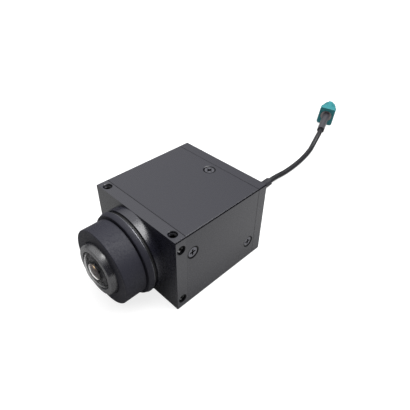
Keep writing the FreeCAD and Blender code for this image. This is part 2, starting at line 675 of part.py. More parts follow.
def make_second_element():
    """Second meniscus, which shows through the front glass."""
    bowl_centre = f"({SECOND_SEAT} - sqrt(second_bowl_radius ^ 2 - second_bowl_edge ^ 2))"
    return turned("second_element", [
        ("second_bowl_edge", SECOND_SEAT), ("second_edge", SECOND_SEAT),
        ("second_edge", f"{SECOND_SEAT} + second_thickness",
         sphere_middle(SECOND_CENTRE, "second_front_radius", "second_edge / 2")),
        ("0", f"{SECOND_CENTRE} + second_front_radius"),
        ("0", f"{bowl_centre} + second_bowl_radius",
         sphere_middle(bowl_centre, "second_bowl_radius", "second_bowl_edge / 2")),
    ], *LENS)


def make_element_spacer():
    """Ring between the front glass and the second element, coned to that element's front."""
    hole = "(second_edge - spacer_wall)"
    return turned("element_spacer", [
        (hole, f"{SECOND_CENTRE} + sqrt(second_front_radius ^ 2 - {hole} ^ 2) + glass_gap"),
        ("second_edge", f"{SECOND_SEAT} + second_thickness + glass_gap"),
        ("second_edge", CELL_SHELF), (hole, CELL_SHELF),
    ], *LENS)


def make_middle_element():
    """Flat-fronted element against the inner barrel's second seat."""
    return turned("middle_element", [
        ("0", MIDDLE_BACK), ("group_edge", MIDDLE_BACK), ("group_edge", MIDDLE_FRONT), ("0", MIDDLE_FRONT),
    ], *LENS)


def make_aperture_plate():
    front = MIDDLE_BACK
    return turned("aperture_plate", [
        ("stop_aperture", f"{front} - stop_thickness"), ("group_edge", f"{front} - stop_thickness"),
        ("group_edge", front), ("stop_aperture", front),
    ], *LENS)


def sag(radius):
    """Distance from the centre of a rear element's surface to its plane at a radius."""
    return f"sqrt(rear_element_radius ^ 2 - {radius} ^ 2)"


REAR_FRONT_CENTRE = f"({REAR_FRONT} - {sag('group_edge')})"
REAR_BACK_CENTRE = f"({REAR_BACK} + {sag('group_edge')})"


def make_rear_element():
    """Biconvex element nearest the sensor."""
    half = "group_edge / 2"
    return turned("rear_element", [
        ("0", f"{REAR_BACK_CENTRE} - rear_element_radius",
         sphere_middle(REAR_BACK_CENTRE, "rear_element_radius", half, "-")),
        ("group_edge", REAR_BACK),
        ("group_edge", REAR_FRONT, sphere_middle(REAR_FRONT_CENTRE, "rear_element_radius", half)),
        ("0", f"{REAR_FRONT_CENTRE} + rear_element_radius"),
    ], *LENS)


def make_middle_spacer():
    """Tube between the rear element and the aperture plate, coned to the element."""
    front = f"({MIDDLE_BACK} - stop_thickness)"
    return turned("middle_spacer", [
        (SPACER_BORE, f"{REAR_FRONT_CENTRE} + {sag(SPACER_BORE)} + glass_gap"),
        ("group_edge", f"{REAR_FRONT} + glass_gap"), ("group_edge", front), (SPACER_BORE, front),
    ], *LENS)


def make_rear_spacer():
    """Ring between the filter and the rear element, coned to the element."""
    return turned("rear_spacer", [
        (SPACER_BORE, FILTER_FRONT), ("group_edge", FILTER_FRONT),
        ("group_edge", f"{REAR_BACK} - glass_gap"),
        (SPACER_BORE, f"{REAR_BACK_CENTRE} - {sag(SPACER_BORE)} - glass_gap"),
    ], *LENS)


def make_filter():
    return turned("infrared_filter", [
        ("0", FILTER_BACK), ("group_edge", FILTER_BACK), ("group_edge", FILTER_FRONT), ("0", FILTER_FRONT),
    ], *LENS)


def make_board(label, station):
    """A circuit board with its four screw holes."""
    body = new_body(label)
    flat = new_sketch(body, "XZ_Plane", "flat", f"-({station})")
    rectangle(flat, BOARD_X, f"{MID} - {BOARD_Z}", f"{MID} + {BOARD_Z}")
    for x, z in board_holes():
        circle(flat, x, z, "board_hole_radius")
    pad(body, flat, "board_thickness", True)
    return body


def make_standoff(label, x, z):
    """Round spacer with a threaded stud in front and a tapped hole behind."""
    station = f"({SENSOR_BOARD} + board_thickness)"
    stud = "(stud_length + board_thickness)"
    return turned(label, [
        ("0", f"-{stud}"), ("case_screw_radius", f"-{stud}"), ("case_screw_radius", "0"),
        ("standoff_radius", "0"), ("standoff_radius", STANDOFF), (SCREW_HOLE, STANDOFF),
        (SCREW_HOLE, f"{STANDOFF} - board_screw_length"), ("0", f"{STANDOFF} - board_screw_length"),
    ], x, station, z, BACKWARD)


def make_board_screw(label, x, z):
    return turned(label, [
        ("0", "board_thickness - board_screw_length"),
        ("case_screw_radius", "board_thickness - board_screw_length"),
        ("case_screw_radius", "0"), ("board_screw_head", "0"),
        ("board_screw_head", "board_screw_head_height"), ("0", "board_screw_head_height"),
    ], x, LINK_BACK, z, BACKWARD)


def make_window():
    """The sensor's cover glass."""
    front = f"{SENSOR_BOARD} - sensor_thickness - window_thickness"
    return block("sensor_window", "window_width / 2", front, f"{SENSOR_BOARD} - sensor_thickness",
                 f"{LENS_HEIGHT} - window_height / 2", f"{LENS_HEIGHT} + window_height / 2")


def make_sensor():
    return block("image_sensor", "sensor_width / 2", f"{SENSOR_BOARD} - sensor_thickness", SENSOR_BOARD,
                 f"{LENS_HEIGHT} - sensor_height / 2", f"{LENS_HEIGHT} + sensor_height / 2")


HEADER_LOW = f"({MID} - header_drop - header_height / 2)"
HEADER_HIGH = f"({MID} - header_drop + header_height / 2)"


def make_header_plug():
    return block("header_plug", "header_width / 2 - header_wall - grip_gap",
                 f"{SENSOR_BOARD} + board_thickness", f"{LINK_BOARD} - header_wall - grip_gap",
                 f"{HEADER_LOW} + header_wall + grip_gap", f"{HEADER_HIGH} - header_wall - grip_gap")


def make_header_socket():
    """Shroud on the second board that the plug half stands in."""
    body = new_body("header_socket")
    shroud = new_sketch(body, "XZ_Plane", "shroud", f"-({LINK_BOARD})")
    rectangle(shroud, "header_width / 2", HEADER_LOW, HEADER_HIGH)
    pad(body, shroud, f"{STANDOFF} / 2")
    mouth = new_sketch(body, "XZ_Plane", "mouth", f"-({LINK_BOARD} - {STANDOFF} / 2)")
    rectangle(mouth, "header_width / 2 - header_wall",
              f"{HEADER_LOW} + header_wall", f"{HEADER_HIGH} - header_wall")
    pocket(body, mouth, f"{STANDOFF} / 2 - header_wall")
    return body


def make_board_parts():
    """Serialiser chip with its heat pad, and the power inductor, behind the second board."""
    chip = block("serialiser_chip", "chip_side / 2", LINK_BACK, f"{LINK_BACK} + chip_thickness",
                 f"{MID} - chip_side / 2", f"{MID} + chip_side / 2", "-chip_offset")
    heat_pad = block("heat_pad", "chip_side / 2", f"{LINK_BACK} + chip_thickness",
                     f"{LINK_BACK} + chip_thickness + pad_thickness",
                     f"{MID} - chip_side / 2", f"{MID} + chip_side / 2", "-chip_offset")
    coil = block("power_inductor", "coil_side / 2", LINK_BACK, f"{LINK_BACK} + coil_height",
                 f"{MID} - coil_side / 2", f"{MID} + coil_side / 2", "coil_offset")
    return [chip, heat_pad, coil]


def make_coax_socket():
    """Board-end coaxial socket, square foot and round barrel, on the lead's axis."""
    body = new_body("coax_socket", "0", LINK_BACK, "exit_height", BACKWARD)
    foot = new_sketch(body, "XY_Plane", "foot")
    rectangle(foot, "socket_base / 2", "-socket_base / 2", "socket_base / 2")
    pad(body, foot, "socket_foot")
    barrel = new_sketch(body, "XY_Plane", "barrel", "socket_foot")
    circle(barrel, "0", "0", "socket_radius")
    circle(barrel, "0", "0", "socket_bore")
    pad(body, barrel, "socket_length - socket_foot")
    return body


PLUG_STEP = "(socket_length + plug_gap)"


def make_coax_plug():
    """Cable-end plug: a cap over the socket, a solid part and a crimp neck on the cable."""
    cap = "(socket_radius + plug_gap)"
    grip = "(lead_radius + grip_gap)"
    neck = f"({PLUG_STEP} + plug_body)"
    return turned("coax_plug", [
        ("0", PLUG_STEP), (cap, PLUG_STEP), (cap, f"{PLUG_STEP} - plug_cap + socket_foot"),
        ("plug_radius", f"{PLUG_STEP} - plug_cap + socket_foot"), ("plug_radius", neck),
        ("plug_neck", neck), ("plug_neck", f"{neck} + plug_neck_length"),
        (grip, f"{neck} + plug_neck_length"), (grip, neck), ("0", neck),
    ], "0", LINK_BACK, "exit_height", BACKWARD)


def make_inner_lead():
    """The cable from the inner plug through the grommet, as one straight run."""
    item = doc.addObject("Part::Cylinder", "inner_lead")
    item.Label = "inner_lead"
    start = f"({LINK_BACK} + {PLUG_STEP} + plug_body)"
    bind(item, Radius="lead_radius", Height=f"{REAR} + grommet_length - {start}")
    seat(item, "0", start, "exit_height", SIDEWAYS["+y"])
    return item


def make_grommet():
    """Moulded rubber grommet, gripping the rear plate between its flange and its collar."""
    grip = "(lead_radius + grip_gap)"
    waist = "(grommet_hole - grip_gap)"
    return turned("cable_grommet", [
        (grip, "-rear_thickness - grommet_flange_length"),
        ("grommet_flange", "-rear_thickness - grommet_flange_length"),
        ("grommet_flange", "-rear_thickness"), (waist, "-rear_thickness"), (waist, "0"),
        ("grommet_collar", "0"), ("grommet_collar", "grommet_collar_length"),
        ("grommet_root", "grommet_collar_length"), ("grommet_tip", "grommet_length"),
        (grip, "grommet_length"),
    ], "0", REAR, "exit_height", BACKWARD)


# The lead beyond the grommet, as points in the part's frame. It leaves the grommet level, comes
# down behind the case, lies on the surface in a slow bend and rises to the connector's middle.
HEADING = math.radians(number("boot_heading"))
AXIS = vec(-math.sin(HEADING), math.cos(HEADING), 0)
CONNECTOR = vec(-18.3, 131.05, 5.3)
BOOT_START = CONNECTOR - AXIS * number("boot_length")
SLEEVE_ROUTE = [
    vec(0, number(f"{REAR} + grommet_length"), number("exit_height")),
    vec(0, 29.6, 15.0),
    vec(-0.1, 33.4, 14.1),
    vec(-0.4, 36.9, 12.4),
    vec(-0.85, 39.95, 9.9),
    vec(-1.4, 42.35, 6.8),
    vec(-2.0, 45.4, 4.3),
    vec(-2.6, 48.9, 2.7),
    vec(-3.02, 53.0, 1.93),
    vec(-3.15, 57.1, 1.91),
]
SLEEVE_END = SLEEVE_ROUTE[-1]
CABLE_ROUTE = [
    SLEEVE_END,
    SLEEVE_END + (SLEEVE_END - SLEEVE_ROUTE[-2]) * 1.25,
    vec(-3.1, 68.6, 1.27),
    vec(-3.15, 75.0, 1.26),
    vec(-3.6, 81.8, 1.26),
    vec(-4.6, 89.0, 1.27),
    vec(-5.95, 95.9, 1.4),
    vec(-7.2, 100.4, 1.95),
    vec(-8.3, 104.6, 3.4),
    BOOT_START - AXIS * 4.0,
    BOOT_START,
]


def rounded_path(points):
    """Straight runs joined by tangent arcs, each as large as its two runs allow."""
    edges = []
    radii = []
    length = 0
    start = points[0]
    for before, corner, after in zip(points, points[1:], points[2:]):
        come = (corner - before).normalize()
        leave = (after - corner).normalize()
        turn = come.getAngle(leave)
        shorter = min((corner - before).Length, (after - corner).Length)
        radius = 0.45 * shorter / math.tan(turn / 2)
        enter = corner - come * 0.45 * shorter
        out = corner + leave * 0.45 * shorter
        inward = (leave - come).normalize()
        middle = corner + inward * radius * (1 / math.cos(turn / 2) - 1)
        edges += [Part.LineSegment(start, enter).toShape(), Part.Arc(enter, middle, out).toShape()]
        length += (enter - start).Length + radius * turn
        radii.append(round(radius, 1))
        start = out
    edges.append(Part.LineSegment(start, points[-1]).toShape())
    length += (points[-1] - start).Length
    return Part.Wire(edges), radii, length


def make_tube(label, points, radius):
    """A cord's plain solid, checked against its section times its length."""
    path, radii, length = rounded_path(points)
    profile = Part.Wire(Part.makeCircle(radius, points[0], points[1] - points[0]))
    tube = path.makePipeShell([profile], True, True)
    whole = math.pi * radius ** 2 * length
    print(label, "length", round(length, 2), "radii", radii, "volume ratio", round(tube.Volume / whole, 4))
    item = doc.addObject("Part::Feature", label)
    item.Label = label
    item.Shape = tube
    item.Placement = FreeCAD.Placement()
    return item


def connector_turn():
    """Local Z to the connector's front and local Y up, leaning to its right."""
    level = vec(-AXIS.y, AXIS.x, 0)
    lie = FreeCAD.Rotation(level, vec(0, 0, 1), AXIS)
    return FreeCAD.Rotation(AXIS, number("connector_roll")).multiply(lie)


CONNECTOR_TURN = connector_turn()
COLLAR_FRONT = "collar_depth"
NOSE_FRONT = "(collar_depth + nose_length)"
WEB_BACK = "(ferrule_recess + collar_depth)"
WEB_FRONT = f"({WEB_BACK} + web_thickness)"


def on_connector(body):
    body.Placement = FreeCAD.Placement(CONNECTOR, CONNECTOR_TURN)
    return body


def make_connector_housing():
    """Keyed plastic housing: square collar, round nose, side keys and a locking catch."""
    body = on_connector(new_body("connector_housing"))
    collar = new_sketch(body, "XY_Plane", "collar")
    half_height = "connector_height / 2"
    bevelled(collar, "connector_width / 2", f"-{half_height}", half_height, "connector_bevel")
    pad(body, collar, "collar_depth")
    nose = new_sketch(body, "XY_Plane", "nose", COLLAR_FRONT)
    circle(nose, "0", "0", "nose_radius")
    pad(body, nose, "nose_length")
    keys = new_sketch(body, "XY_Plane", "keys", COLLAR_FRONT)
    rectangle(keys, "nose_radius + key_rise", "-key_width / 2", "key_width / 2")
    pad(body, keys, "catch_length + catch_ramp")
    catch = new_sketch(body, "YZ_Plane", "catch", "-catch_width / 2")
    outline(catch, [
        ("0", COLLAR_FRONT), ("connector_height / 2", COLLAR_FRONT),
        ("connector_height / 2", f"{COLLAR_FRONT} + catch_length"),
        ("nose_radius - catch_foot", f"{COLLAR_FRONT} + catch_length + catch_ramp"),
        ("0", f"{COLLAR_FRONT} + catch_length + catch_ramp"),
    ])
    pad(body, catch, "catch_width")
    front = new_sketch(body, "XY_Plane", "front_bore", NOSE_FRONT)
    circle(front, "0", "0", "nose_bore")
    pocket(body, front, f"{NOSE_FRONT} - {WEB_FRONT}")
    back = new_sketch(body, "XY_Plane", "back_bore")
    circle(back, "0", "0", "ferrule_radius + ferrule_fit")
    pocket(body, back, WEB_BACK, True)
    through = new_sketch(body, "XY_Plane", "web_bore", WEB_FRONT)
    circle(through, "0", "0", "shell_radius + ferrule_fit")
    pocket(body, through, "web_thickness")
    return body


def make_ferrule():
    """Crimp ferrule whose bright rim fills the back of the housing."""
    return on_connector(turned("crimp_ferrule", [
        ("0", "ferrule_recess"), ("ferrule_radius", "ferrule_recess"),
        ("ferrule_radius", "ferrule_recess + ferrule_rim"), ("ferrule_neck", "ferrule_recess + ferrule_rim"),
        ("ferrule_neck", WEB_BACK), ("0", WEB_BACK),
    ]))


def make_shell():
    inner = "(shell_radius - shell_wall)"
    return on_connector(turned("outer_contact", [
        (inner, WEB_BACK), ("shell_radius", WEB_BACK), ("shell_radius", f"{WEB_BACK} + shell_length"),
        (inner, f"{WEB_BACK} + shell_length"),
    ]))


def make_insulator():
    outer = "(shell_radius - shell_wall - grip_gap)"
    hole = "(pin_radius + grip_gap)"
    return on_connector(turned("contact_insulator", [
        (hole, WEB_BACK), (outer, WEB_BACK), (outer, f"{WEB_BACK} + insulator_length"),
        (hole, f"{WEB_BACK} + insulator_length"),
    ]))


def make_pin():
    tip = f"({WEB_BACK} + pin_length)"
    return on_connector(turned("centre_contact", [
        ("0", WEB_BACK), ("pin_radius", WEB_BACK), ("pin_radius", f"{tip} - pin_radius"),
        ("pin_radius / 3", tip), ("0", tip),
    ]))


def make_boot():
    """The heat-shrink end of the lead, shrunk tight on the cable and up to the ferrule."""
    item = doc.addObject("Part::Cylinder", "connector_boot")
    item.Label = "connector_boot"
    bind(item, Radius="boot_radius", Height="boot_length + ferrule_recess")
    item.Placement = FreeCAD.Placement(BOOT_START, CONNECTOR_TURN)
    return item


def make_case():
    pieces = [make_front_block(), make_housing(), make_rear_plate()]
    pieces.append(make_gasket("front_gasket", FRONT_SHOULDER, True))
    pieces.append(make_gasket("rear_gasket", REAR_SHOULDER, False))
    return pieces + [make_case_screw(*screw) for screw in CASE_SCREWS]


def make_lens():
    pieces = [make_lens_seal(), make_lock_ring(), make_outer_barrel(), make_inner_barrel()]
    pieces += [make_retainer(), make_bezel(), make_front_glass(), make_element_spacer()]
    pieces += [make_second_element(), make_middle_element(), make_aperture_plate()]
    pieces += [make_middle_spacer(), make_rear_element(), make_rear_spacer()]
    return pieces + [make_filter()]


def make_electronics():
    pieces = [make_board("sensor_board", SENSOR_BOARD), make_board("link_board", LINK_BOARD)]
    pieces += [make_sensor(), make_window(), make_header_plug(), make_header_socket()]
    pieces += make_board_parts()
    for index, (x, z) in enumerate(board_holes(), 1):
        pieces.append(make_standoff(f"standoff_{index}", x, z))
        pieces.append(make_board_screw(f"board_screw_{index}", x, z))
    return pieces


def make_lead():
    pieces = [make_coax_socket(), make_coax_plug(), make_inner_lead(), make_grommet()]
    pieces.append(make_tube("cable_sleeve", SLEEVE_ROUTE, number("sleeve_radius")))
    pieces.append(make_tube("coax_cable", CABLE_ROUTE, number("lead_radius")))
    pieces += [make_boot(), make_ferrule(), make_connector_housing(), make_shell()]
    return pieces + [make_insulator(), make_pin()]


subparts = make_case() + make_lens() + make_electronics() + make_lead()
doc.recompute()

failed = [item.Name for item in doc.Objects if {"Invalid", "Error"} & set(item.State)]
for item in subparts:
    if item.Shape.isNull() or not item.Shape.isValid() or len(item.Shape.Solids) != 1:
        failed.append(item.Label)
if failed:
    raise ValueError(f"these did not build: {failed}")
for item in subparts:
    item.Shape.exportStep(f"parts/{item.Label}.step")
print(len(subparts), "pieces")
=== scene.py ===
import bpy
import bmesh
from math import cos, pi, radians, sin
from mathutils import Matrix, Vector


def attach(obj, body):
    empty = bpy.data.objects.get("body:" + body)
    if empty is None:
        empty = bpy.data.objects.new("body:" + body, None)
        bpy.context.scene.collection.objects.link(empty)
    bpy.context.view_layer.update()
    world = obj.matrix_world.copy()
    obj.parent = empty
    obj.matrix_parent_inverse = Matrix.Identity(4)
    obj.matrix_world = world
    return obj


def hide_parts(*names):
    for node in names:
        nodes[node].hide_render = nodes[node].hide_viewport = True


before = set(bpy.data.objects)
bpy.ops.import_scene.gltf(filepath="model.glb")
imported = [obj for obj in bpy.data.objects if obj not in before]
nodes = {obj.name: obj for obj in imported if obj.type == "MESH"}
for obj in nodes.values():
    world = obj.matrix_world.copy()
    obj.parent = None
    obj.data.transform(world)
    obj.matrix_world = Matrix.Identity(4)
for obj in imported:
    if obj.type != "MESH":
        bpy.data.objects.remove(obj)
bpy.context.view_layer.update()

scene = bpy.context.scene
mm = 0.001
print("frame loaded:", len(nodes), "pieces")


def linear(hexColour):
    channels = [int(hexColour[i:i + 2], 16) / 255 for i in (1, 3, 5)]
    return [c / 12.92 if c <= 0.04045 else ((c + 0.055) / 1.055) ** 2.4 for c in channels] + [1.0]


def addNode(tree, kind, settings=None, links=None):
    # a key is a socket's name or number, or else a setting of the node itself
    node = tree.nodes.new(kind)
    for key, value in (settings or {}).items():
        if isinstance(key, int) or key in node.inputs:
            node.inputs[key].default_value = value
        else:
            setattr(node, key, value)
    for key, source in (links or {}).items():
        tree.links.new(source, node.inputs[key])
    return node


def addPiece(name, shape):
    mesh = bpy.data.meshes.new(name)
    shape.to_mesh(mesh)
    shape.free()
    piece = bpy.data.objects.new(name, mesh)
    scene.collection.objects.link(piece)
    return piece


# Camera: the viewpoint of the photograph, solved from the corners of the case
cameraView = {
    "place": (0.080776, -0.071795, 0.107001),
    "azimuth": 44.17,      # degrees from the front of the lens towards the right side
    "elevation": 38.481,
    "roll": 1.21,
    "lens": 34.334,        # mm on a 36 mm sensor
}
turn, rise, roll = (radians(cameraView[k]) for k in ("azimuth", "elevation", "roll"))
back = Vector((sin(turn) * cos(rise), -cos(turn) * cos(rise), sin(rise)))
right = (-back).cross(Vector((0, 0, 1))).normalized()
up = right.cross(-back)
sideways = right * cos(roll) + up * sin(roll)
upwards = up * cos(roll) - right * sin(roll)
cameraData = bpy.data.cameras.new("photoCamera")
cameraData.lens = cameraView["lens"]
cameraData.sensor_width = 36
cameraData.clip_start = 0.005
cameraData.clip_end = 5
camera = bpy.data.objects.new("photoCamera", cameraData)
facing = Matrix((sideways, upwards, back)).transposed().to_4x4()
camera.matrix_world = Matrix.Translation(cameraView["place"]) @ facing
scene.collection.objects.link(camera)
scene.camera = camera
print("camera placed")

# Lead: a heat-shrink sleeve out of the case, then the bare cable to the connector's boot; routes in mm
sleeve = {
    "radius": 1.9 * mm,
    "length": 35.64 * mm,
    "route": [(0, 25.75, 15), (0, 29.6, 15), (-0.1, 33.4, 14.1), (-0.4, 36.9, 12.4), (-0.85, 39.95, 9.9),
              (-1.4, 42.35, 6.8), (-2.0, 45.4, 4.3), (-2.6, 48.9, 2.7), (-3.02, 53.0, 1.93), (-3.15, 57.1, 1.91)],
}
cable = {
    "radius": 1.25 * mm,
    "length": 58.3 * mm,
    "route": [(-3.15, 57.1, 1.91), (-3.3125, 62.225, 1.885), (-3.1, 68.6, 1.27), (-3.15, 75.0, 1.26),
              (-3.6, 81.8, 1.26), (-4.6, 89.0, 1.27), (-5.95, 95.9, 1.4), (-7.2, 100.4, 1.95),
              (-8.3, 104.6, 3.4), (-9.651, 110.17, 5.3), (-11.182, 113.866, 5.3)],
}


def cordCurve(name, route, radius):
    curve = bpy.data.curves.new(name, "CURVE")
    curve.dimensions = "3D"
    curve.bevel_depth = 1.0    # times each point's own radius
    curve.bevel_resolution = 6
    curve.resolution_u = 14
    curve.use_fill_caps = True
    spline = curve.splines.new("NURBS")
    spline.points.add(len(route) - 1)
    for point, place in zip(spline.points, route):
        point.co = (*(Vector(place) * mm), 1)
        point.radius = radius
    spline.order_u = 3
    spline.use_endpoint_u = True
    cord = bpy.data.objects.new(name, curve)
    scene.collection.objects.link(cord)
    return cord


leadSleeve = cordCurve("leadSleeve", sleeve["route"], sleeve["radius"])
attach(leadSleeve, "case")
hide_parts("cable_sleeve")

leadCable = cordCurve("leadCable", cable["route"], cable["radius"])
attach(leadCable, "case")
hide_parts("coax_cable")
print("lead laid")


def newFinish(name, colour, settings):
    finish = bpy.data.materials.new(name)
    finish.use_nodes = True
    tree = finish.node_tree
    tree.nodes.clear()
    shader = addNode(tree, "ShaderNodeBsdfPrincipled", {"Base Color": linear(colour), **settings})
    addNode(tree, "ShaderNodeOutputMaterial", links={"Surface": shader.outputs["BSDF"]})
    return finish, tree, shader


def roughSurface(tree, shader, grain, depth, rough, spread):
    # one fine noise, grain mm wide, both dulls and dents the surface
    place = addNode(tree, "ShaderNodeTexCoord").outputs["Object"]
    fine = addNode(tree, "ShaderNodeTexNoise", {"Scale": 1 / (grain * mm), "Detail": 2.0}, {"Vector": place})
    dull = addNode(tree, "ShaderNodeMapRange", {"From Min": 0.35, "From Max": 0.65, "To Min": rough - spread,
                   "To Max": rough + spread}, {"Value": fine.outputs["Fac"]})
    tree.links.new(dull.outputs["Result"], shader.inputs["Roughness"])
    dents = addNode(tree, "ShaderNodeBump", {"Strength": 1.0, "Distance": depth * mm},
                    {"Height": fine.outputs["Fac"]})
    tree.links.new(dents.outputs["Normal"], shader.inputs["Normal"])
    return place, dents.outputs["Normal"]


plainFinishes = {
    # name: colour, shader settings, then grain and depth in mm, roughness and how far it varies

    # Polished edge of the bezel, anodised after turning: tighter, brighter streaks than on the hood
    "polishedAnodisedAluminium": ("#26262c", {"IOR": 1.85}, 0.3, 0.002, 0.25, 0.03),
    # A light metal band on the lock ring's back rim, a painted highlight: it stands in for the line of light along the
    # rim's edge
    "highlightAluminium": ("#77777b", {"Metallic": 1.0}, 0.3, 0.002, 0.4, 0.08),
    # Ink-black matt anodising inside the barrels, which soaks up stray light
    "mattAnodisedAluminium": ("#101014", {"IOR": 1.35}, 0.2, 0.003, 0.4, 0.05),
    # Nickel plate on brass: warm grey mirror, dulled by handling
    "nickelPlate": ("#8a8485", {"Metallic": 1.0}, 0.3, 0.001, 0.28, 0.06),
    # Gold plate on the contacts: a clean warm mirror
    "goldPlate": ("#e0b760", {"Metallic": 1.0}, 0.2, 0.001, 0.22, 0.05),
    # Bright white wire, a painted highlight: it reads as a white line of reflected light in the dark lens
    "whiteHighlightWire": ("#fbfbfa", {"IOR": 1.8}, 0.1, 0.0005, 0.3, 0.05),
    # Heat-shrink polyolefin: drawn tight, so nearly smooth, with a dull waxy bloom
    "heatShrink": ("#222228", {"IOR": 1.45}, 0.5, 0.006, 0.48, 0.06),
    # The same on the connector's boot, stretched thin over the crimp, which turns it greyer
    "stretchedHeatShrink": ("#3c3a3f", {"IOR": 1.5}, 0.5, 0.006, 0.42, 0.06),
    # Extruded vinyl jacket: satin, with faint waves from the braid below
    "extrudedVinyl": ("#141419", {"IOR": 1.4}, 0.6, 0.006, 0.4, 0.06),
    # Glass-filled nylon in turquoise: fine, even mould texture, and light comes through its thin edges
    "turquoiseNylon": ("#247c82", {"IOR": 1.53, "Subsurface Weight": 0.12, "Subsurface Radius": (0.2, 0.6, 0.6),
                       "Subsurface Scale": 0.5 * mm}, 0.22, 0.004, 0.45, 0.05),
    # Nitrile rubber: dense and dull
    "nitrileRubber": ("#161618", {"IOR": 1.5}, 0.3, 0.004, 0.62, 0.05),
    # Filled silicone pad: pale grey, soft and chalky
    "siliconeRubber": ("#a9acb0", {"IOR": 1.42}, 0.4, 0.006, 0.6, 0.05),
    # Turned fluoropolymer insulator: waxy off-white
    "fluoropolymer": ("#ebe9e2", {"IOR": 1.35}, 0.3, 0.002, 0.42, 0.04),
    # Solder mask on the boards: dark green gloss lacquer
    "solderMask": ("#0d4a2a", {"IOR": 1.55}, 0.5, 0.004, 0.3, 0.05),
    # Moulded epoxy of chips and sockets: near black, as fine and matt as its mould
    "mouldedEpoxy": ("#202022", {"IOR": 1.55}, 0.12, 0.003, 0.5, 0.06),
    # Fired ceramic of the sensor's package: even mid grey
    "firedCeramic": ("#5b5b60", {"IOR": 1.6}, 0.15, 0.002, 0.5, 0.05),
}
finishes = {}
for name, (colour, settings, *surface) in plainFinishes.items():
    finishes[name], tree, shader = newFinish(name, colour, settings)
    roughSurface(tree, shader, *surface)

clearFinishes = {
    # name: colour and shader settings

    # Optical glass under a coat, which mirrors as little as a much lighter glass: clear and dark
    "coatedGlass": ("#ffffff", {"IOR": 1.1, "Roughness": 0.0, "Transmission Weight": 1.0}),
    # The inner elements have no light behind them: ink black, with a soft highlight on the coat
    "darkCoatedGlass": ("#15151b", {"IOR": 1.5, "Roughness": 0.16}),
    # Filter glass that keeps infrared out: a faint cyan cast
    "infraredCutGlass": ("#bfe6e2", {"IOR": 1.52, "Roughness": 0.0, "Transmission Weight": 1.0}),
}
for name, (colour, settings) in clearFinishes.items():
    finishes[name] = newFinish(name, colour, settings)[0]

# Bead blasted, black anodised aluminium: the dark oxide is glassy, so broad soft reflections lie on a near black
blasted = {
    "colour": "#1a1a24",
    "ior": 1.56,
    "surface": (0.35, 0.014, 0.3, 0.05),    # grain and depth in mm, roughness and how far it varies
    "gloss": 0.5,
    "frontGloss": 0.58,    # the front block is from another batch, a shade glossier than the housing
    # painted shade: near black and almost without reflection in the holes, screw seats and joints
    "paintedShadeColour": "#08080b",
    "paintedShadeGloss": 0.05,
    # axis, middle and half width in mm of slabs of the case: below its walls, at its two joints, and the front block
    "slabs": {"across": ("X", 0, 19.98), "along": ("Y", 0, 20.73), "upright": ("Z", 15, 14.85),
              "frontJoint": ("Y", -16.6, 0.11), "rearJoint": ("Y", 16.75, 0.088), "frontBlock": ("Y", -33.3, 16.7)},
}
name = "blastedAnodisedAluminium"
finishes[name], tree, shader = newFinish(name, blasted["colour"], {"IOR": blasted["ior"]})
place, dents = roughSurface(tree, shader, *blasted["surface"])
axes = addNode(tree, "ShaderNodeSeparateXYZ", links={"Vector": place})
mask = {}    # 1 in the slab, 0 outside
for slab, (axis, middle, half) in blasted["slabs"].items():
    mask[slab] = addNode(tree, "ShaderNodeMath", {"operation": "COMPARE", 1: middle * mm, 2: half * mm},
                         {0: axes.outputs[axis]}).outputs["Value"]
# Holes, screw seats and joints get painted shade: a near-black colour and almost no reflection where shade falls in
# them
for joined, operation, first, second in (
        ("inward", "MINIMUM", "across", "upright"), ("inside", "MINIMUM", "inward", "along"),
        ("seam", "MINIMUM", "frontJoint", "across"), ("seams", "MAXIMUM", "seam", "rearJoint"),
        ("paintedShadeMask", "MAXIMUM", "inside", "seams")):
    mask[joined] = addNode(tree, "ShaderNodeMath", {"operation": operation},
                           {0: mask[first], 1: mask[second]}).outputs["Value"]
stock = addNode(tree, "ShaderNodeMapRange", {"To Min": blasted["gloss"], "To Max": blasted["frontGloss"]},
                {"Value": mask["frontBlock"]})
mirror = addNode(tree, "ShaderNodeMapRange", {"To Max": blasted["paintedShadeGloss"]},
                 {"Value": mask["paintedShadeMask"], "To Min": stock.outputs["Result"]})
tree.links.new(mirror.outputs["Result"], shader.inputs["Specular IOR Level"])
tone = addNode(tree, "ShaderNodeMix", {"data_type": "RGBA", 6: linear(blasted["colour"]),
               7: linear(blasted["paintedShadeColour"])}, {0: mask["paintedShadeMask"]})
tree.links.new(tone.outputs[2], shader.inputs["Base Color"])

# Finely turned, black anodised aluminium: tool marks run round the lens and spread the light across them
turned = {
    "colour": "#1f1f29",
    "ior": 1.4,
    "surface": (0.35, 0.028, 0.64, 0.14),    # grain and depth in mm, roughness and how far it varies
    "feed": 1.885,         # mm between tool marks, about 0.1 on the real lens and drawn coarser to show at all
    "markDepth": 0.002,
    "axisHeight": 15.2,
}
name = "turnedAnodisedAluminium"
finishes[name], tree, shader = newFinish(name, turned["colour"], {"IOR": turned["ior"]})
place, dents = roughSurface(tree, shader, *turned["surface"])
centred = addNode(tree, "ShaderNodeMapping", {"Location": (0, 0, -turned["axisHeight"] * mm)}, {"Vector": place})
waveScale = pi / (10 * turned["feed"] * mm)    # the wave texture repeats each pi / 10 of its own units
rings = addNode(tree, "ShaderNodeTexWave", {"wave_type": "RINGS", "rings_direction": "Y", "Scale": waveScale,
                "Distortion": 0.0}, {"Vector": centred.outputs["Vector"]})
bands = addNode(tree, "ShaderNodeTexWave", {"wave_type": "BANDS", "bands_direction": "Y", "Scale": waveScale,
                "Distortion": 0.0}, {"Vector": centred.outputs["Vector"]})
marks = addNode(tree, "ShaderNodeMath", {"operation": "ADD"}, {0: rings.outputs["Fac"], 1: bands.outputs["Fac"]})
grooves = addNode(tree, "ShaderNodeBump", {"Strength": 1.0, "Distance": turned["markDepth"] * mm},
                  {"Height": marks.outputs["Value"], "Normal": dents})
tree.links.new(grooves.outputs["Normal"], shader.inputs["Normal"])
